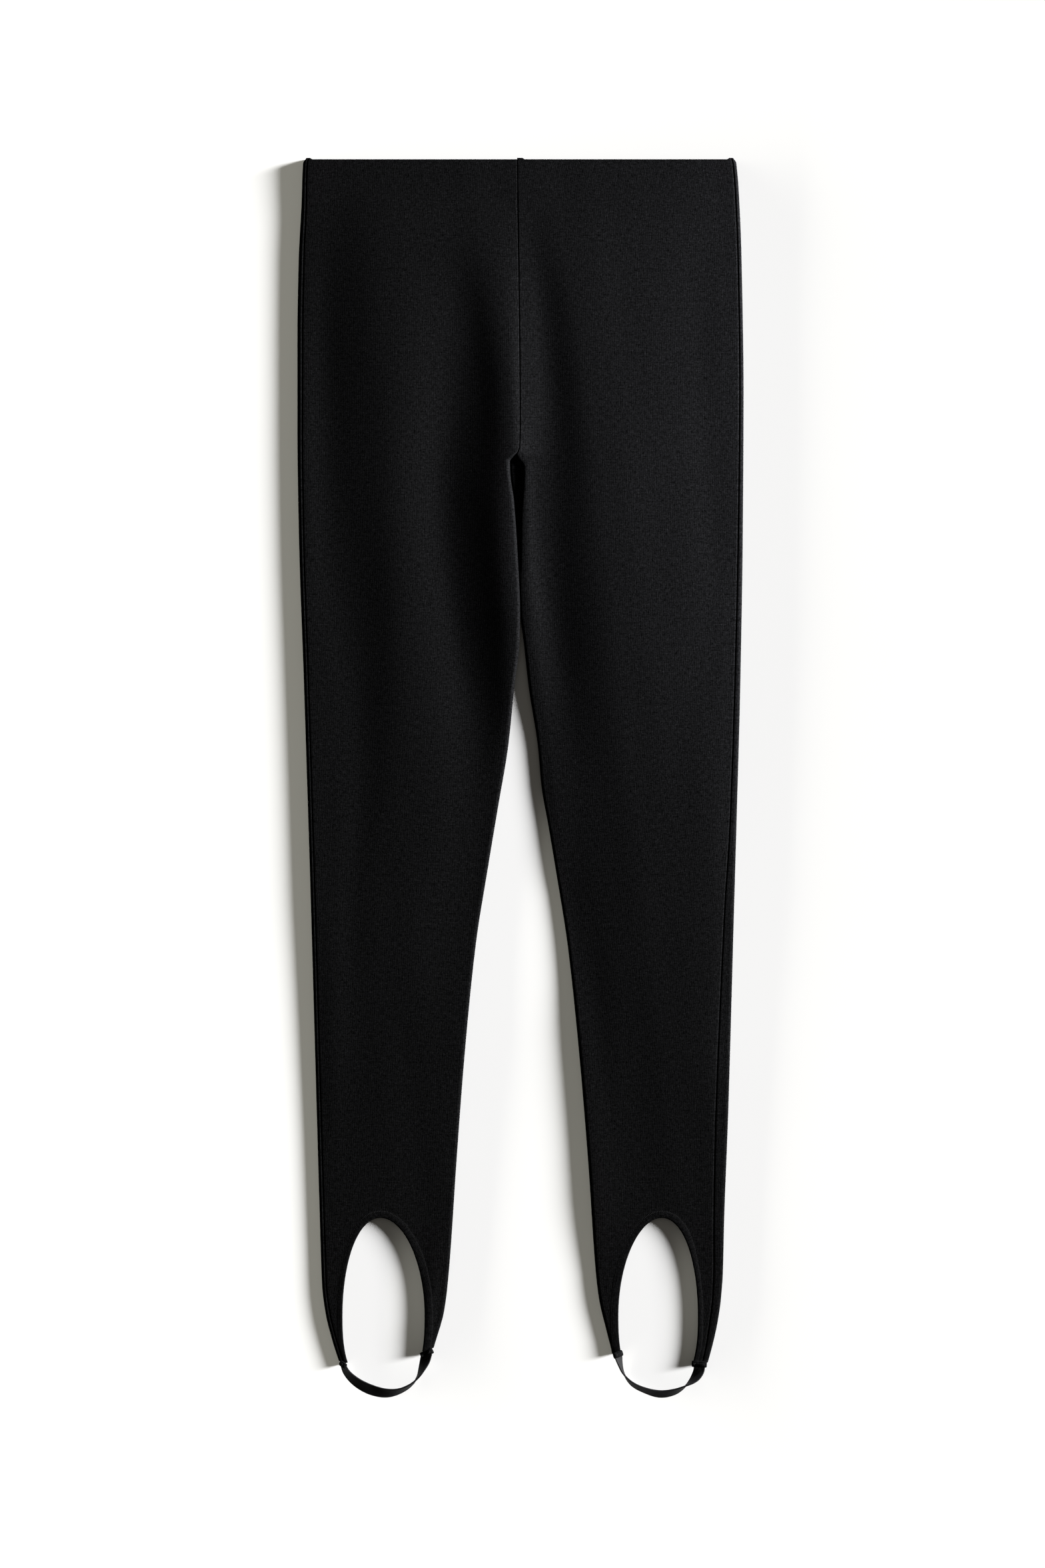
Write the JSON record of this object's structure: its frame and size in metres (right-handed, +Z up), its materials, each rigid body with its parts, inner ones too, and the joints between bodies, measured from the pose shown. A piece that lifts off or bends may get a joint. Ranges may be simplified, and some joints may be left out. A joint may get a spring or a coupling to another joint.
{
  "type": "stirrup leggings laid flat",
  "caption": "Black pull-on knit leggings laid flat, front up, with an oval foot opening at each hem closed under the foot by a narrow elastic strap.",
  "frame": {"origin": "middle of the garment's outline, on the surface that it lies on", "axes": "+Y runs from the stirrups up to the waist, +X across to the wearer's left, +Z up from the surface, out of the front of the garment"},
  "size_m": [0.3782, 1.0511, 0.0101],
  "materials": {
    "knit": "matte, firm smooth double knit in black",
    "elastic": "slightly shiny narrow woven elastic in black"
  },
  "bodies": {
    "root": {"front_right": "knit", "front_left": "knit", "back_right": "knit", "back_left": "knit", "strap_seam_right_outer": "knit", "strap_seam_right_inner": "knit", "strap_seam_left_outer": "knit", "strap_seam_left_inner": "knit", "strap_right": "elastic", "strap_left": "elastic"}
  },
  "joints": []
}
